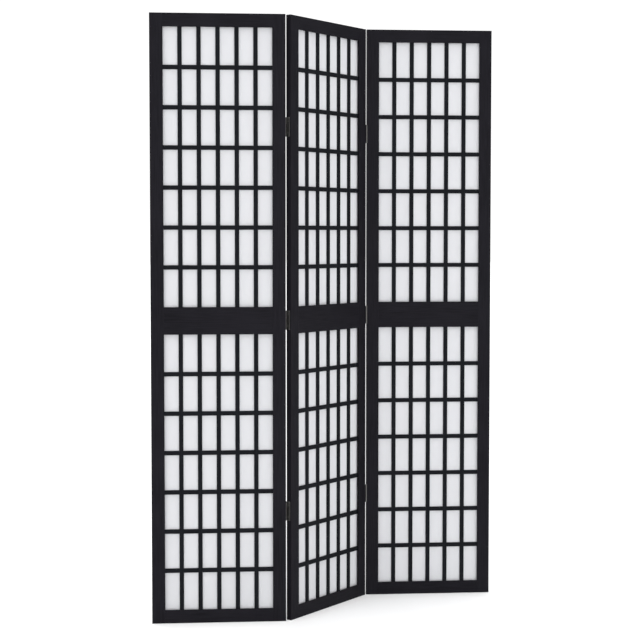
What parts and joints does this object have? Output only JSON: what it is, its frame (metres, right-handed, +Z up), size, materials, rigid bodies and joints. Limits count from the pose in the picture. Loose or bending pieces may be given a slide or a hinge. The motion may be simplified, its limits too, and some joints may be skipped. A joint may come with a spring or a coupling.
{
  "type": "shoji folding screen",
  "caption": "Free-standing folding room divider: black timber frames with a half-lapped lattice over translucent paper, joined by butt hinges and set in a zigzag.",
  "frame": {"origin": "on the floor, under the middle of the middle panel", "axes": "+Z up; +X runs to the right along the two outer panels, seen from the lattice side; +Y towards the back"},
  "size_m": [1.0706, 0.3306, 1.8],
  "materials": {
    "frame_wood": "satin black lacquer",
    "lattice_wood": "satin black lacquer",
    "shoji_paper": "matt translucent paper",
    "hinge_steel": "dark bronzed steel"
  },
  "bodies": {
    "middle_panel": {"left_bottom_hinge_inner_leaf": "hinge_steel", "left_bottom_hinge_pin": "hinge_steel", "left_middle_hinge_inner_leaf": "hinge_steel", "left_middle_hinge_pin": "hinge_steel", "left_top_hinge_inner_leaf": "hinge_steel", "left_top_hinge_pin": "hinge_steel", "middle_panel_bottom_rail": "frame_wood", "middle_panel_left_stile": "frame_wood", "middle_panel_lower_cross_bars": "lattice_wood", "middle_panel_lower_paper": "shoji_paper", "middle_panel_lower_vertical_bars": "lattice_wood", "middle_panel_middle_rail": "frame_wood", "middle_panel_right_stile": "frame_wood", "middle_panel_top_rail": "frame_wood", "middle_panel_upper_cross_bars": "lattice_wood", "middle_panel_upper_paper": "shoji_paper", "middle_panel_upper_vertical_bars": "lattice_wood", "right_bottom_hinge_inner_leaf": "hinge_steel", "right_bottom_hinge_pin": "hinge_steel", "right_middle_hinge_inner_leaf": "hinge_steel", "right_middle_hinge_pin": "hinge_steel", "right_top_hinge_inner_leaf": "hinge_steel", "right_top_hinge_pin": "hinge_steel"},
    "left_panel": {"left_bottom_hinge_outer_leaf": "hinge_steel", "left_middle_hinge_outer_leaf": "hinge_steel", "left_panel_bottom_rail": "frame_wood", "left_panel_left_stile": "frame_wood", "left_panel_lower_cross_bars": "lattice_wood", "left_panel_lower_paper": "shoji_paper", "left_panel_lower_vertical_bars": "lattice_wood", "left_panel_middle_rail": "frame_wood", "left_panel_right_stile": "frame_wood", "left_panel_top_rail": "frame_wood", "left_panel_upper_cross_bars": "lattice_wood", "left_panel_upper_paper": "shoji_paper", "left_panel_upper_vertical_bars": "lattice_wood", "left_top_hinge_outer_leaf": "hinge_steel"},
    "right_panel": {"right_bottom_hinge_outer_leaf": "hinge_steel", "right_middle_hinge_outer_leaf": "hinge_steel", "right_panel_bottom_rail": "frame_wood", "right_panel_left_stile": "frame_wood", "right_panel_lower_cross_bars": "lattice_wood", "right_panel_lower_paper": "shoji_paper", "right_panel_lower_vertical_bars": "lattice_wood", "right_panel_middle_rail": "frame_wood", "right_panel_right_stile": "frame_wood", "right_panel_top_rail": "frame_wood", "right_panel_upper_cross_bars": "lattice_wood", "right_panel_upper_paper": "shoji_paper", "right_panel_upper_vertical_bars": "lattice_wood", "right_top_hinge_outer_leaf": "hinge_steel"}
  },
  "joints": [
    {"name": "left_fold", "type": "hinge", "parent": "middle_panel", "child": "left_panel", "pos_m": [-0.13666, -0.14589, 0.9], "axis": [0, 0, -1], "range_deg": [-50, 130]},
    {"name": "right_fold", "type": "hinge", "parent": "middle_panel", "child": "right_panel", "pos_m": [0.13666, 0.14589, 0.9], "axis": [0, 0, -1], "range_deg": [-50, 130]}
  ]
}
